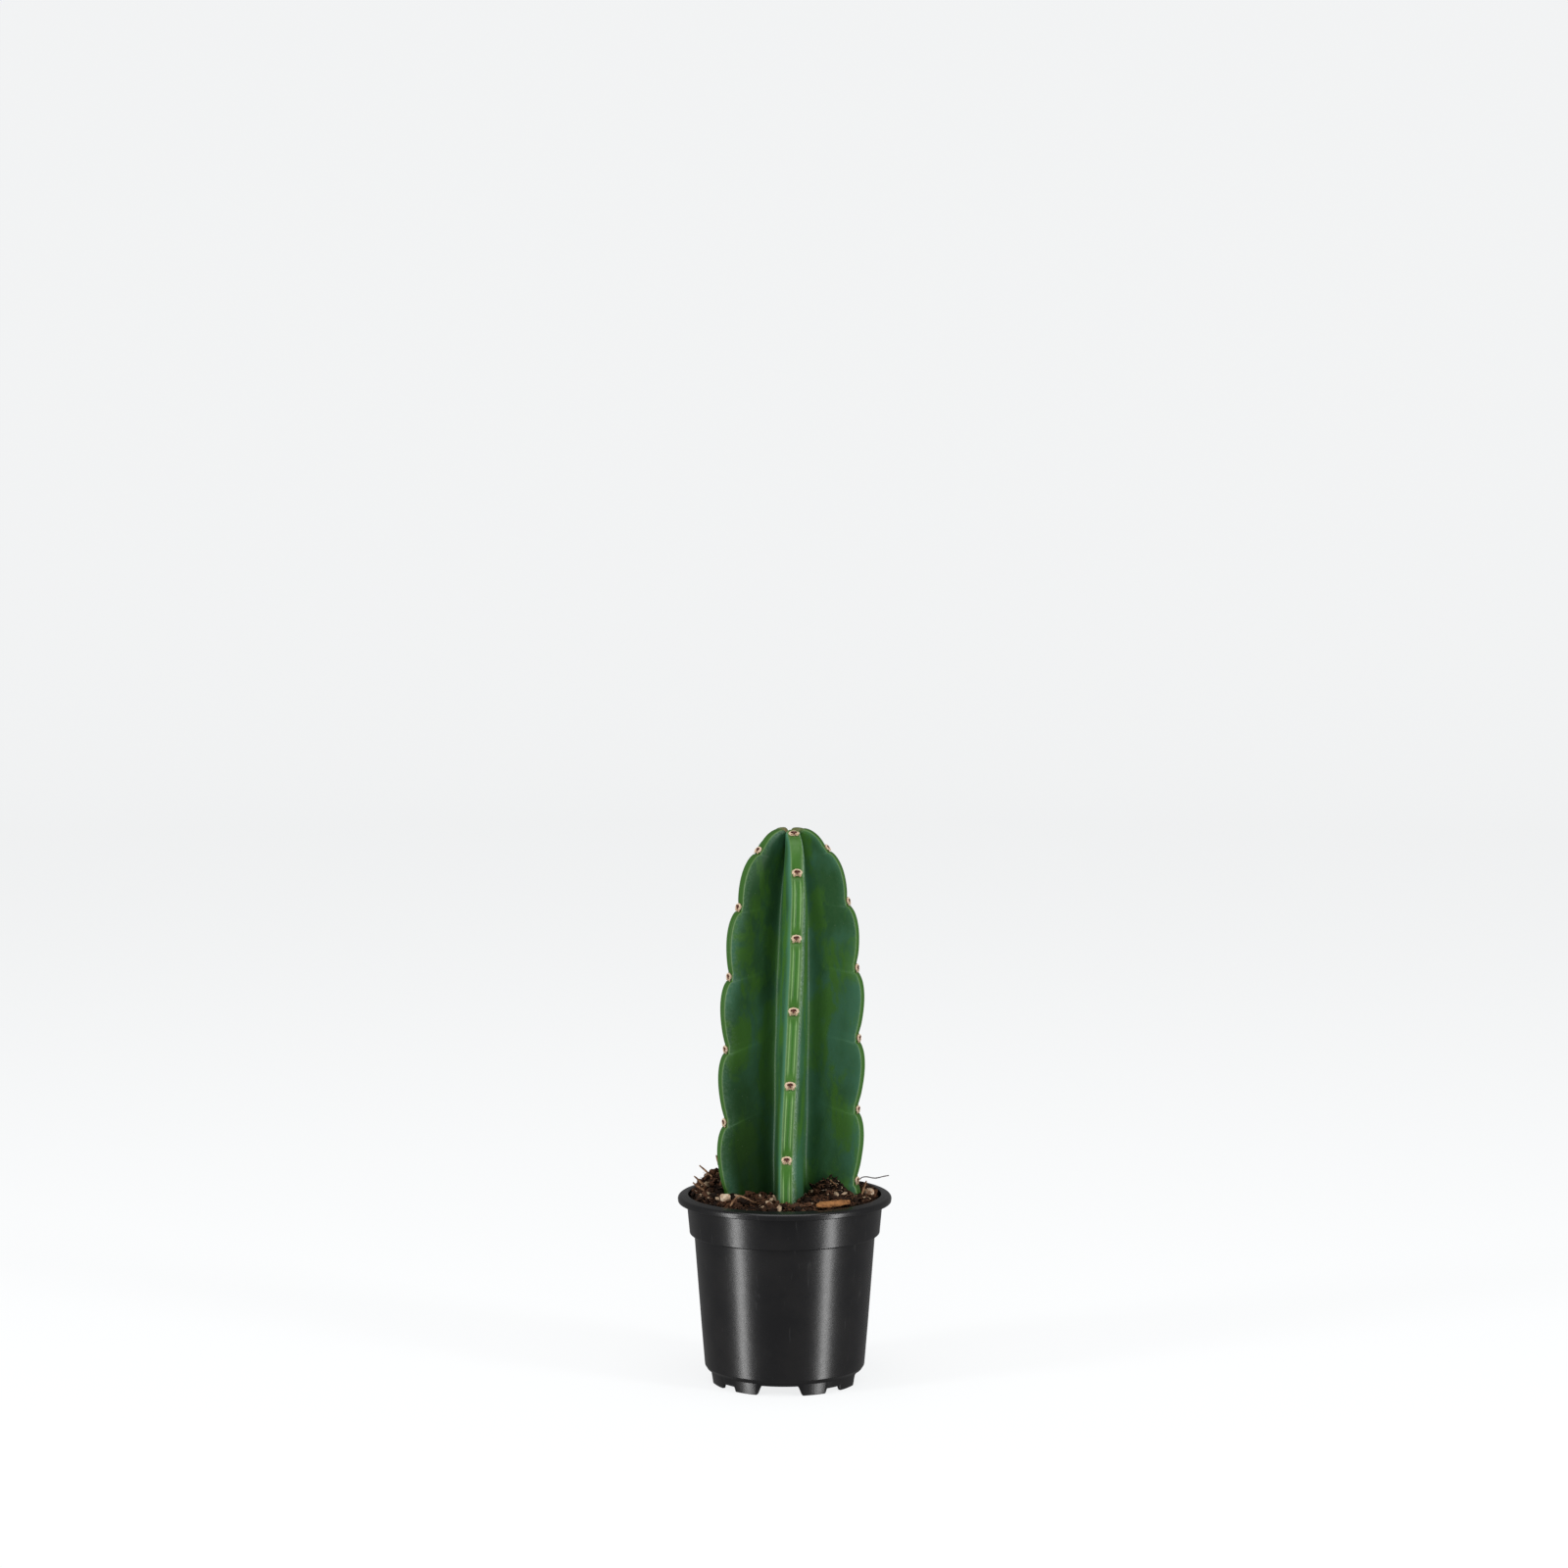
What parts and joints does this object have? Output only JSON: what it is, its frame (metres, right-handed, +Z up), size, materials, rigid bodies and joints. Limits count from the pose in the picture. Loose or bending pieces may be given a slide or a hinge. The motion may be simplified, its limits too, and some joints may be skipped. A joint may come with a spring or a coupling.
{
  "type": "potted tall cactus",
  "caption": "Single ribbed columnar cactus with scalloped ribs and woolly areoles, rooted in potting mix in a round thin-walled nursery pot.",
  "frame": {"origin": "middle of the pot's underside, on the surface that the pot stands on", "axes": "+Z up along the pot's axis; the plant's front rib faces -Y; +X to the right of someone facing it"},
  "size_m": [0.108, 0.108, 0.2804],
  "materials": {
    "pot_plastic": "satin near-black polypropylene with soft sheen and fine scuffs",
    "cactus_skin": "waxy dark green skin with mottling and light green rib edges",
    "areole_wool": "cream to tan felt with a dark brown middle",
    "potting_mix": "matte dark peat and fibre crumbs",
    "bark": "matte orange-brown bark",
    "husk": "matte pale husk and wood",
    "root_fibre": "matte tan to dark brown root and twig"
  },
  "bodies": {
    "root": {"areole_back_left_1": "areole_wool", "areole_back_left_2": "areole_wool", "areole_back_left_3": "areole_wool", "areole_back_left_4": "areole_wool", "areole_back_left_5": "areole_wool", "areole_back_left_6": "areole_wool", "areole_back_right_1": "areole_wool", "areole_back_right_2": "areole_wool", "areole_back_right_3": "areole_wool", "areole_back_right_4": "areole_wool", "areole_back_right_5": "areole_wool", "areole_front_1": "areole_wool", "areole_front_2": "areole_wool", "areole_front_3": "areole_wool", "areole_front_4": "areole_wool", "areole_front_5": "areole_wool", "areole_front_6": "areole_wool", "areole_left_1": "areole_wool", "areole_left_2": "areole_wool", "areole_left_3": "areole_wool", "areole_left_4": "areole_wool", "areole_left_5": "areole_wool", "areole_right_1": "areole_wool", "areole_right_2": "areole_wool", "areole_right_3": "areole_wool", "areole_right_4": "areole_wool", "areole_right_5": "areole_wool", "areole_right_6": "areole_wool", "bark_chip": "bark", "cactus_stem": "cactus_skin", "curled_root": "root_fibre", "husk_flake": "husk", "pot": "pot_plastic", "potting_soil": "potting_mix", "root_thread": "root_fibre", "twig_1": "root_fibre", "twig_2": "root_fibre", "twig_3": "root_fibre", "twig_4": "root_fibre", "twig_5": "root_fibre", "twig_6": "root_fibre", "wood_nugget": "husk"}
  },
  "joints": []
}
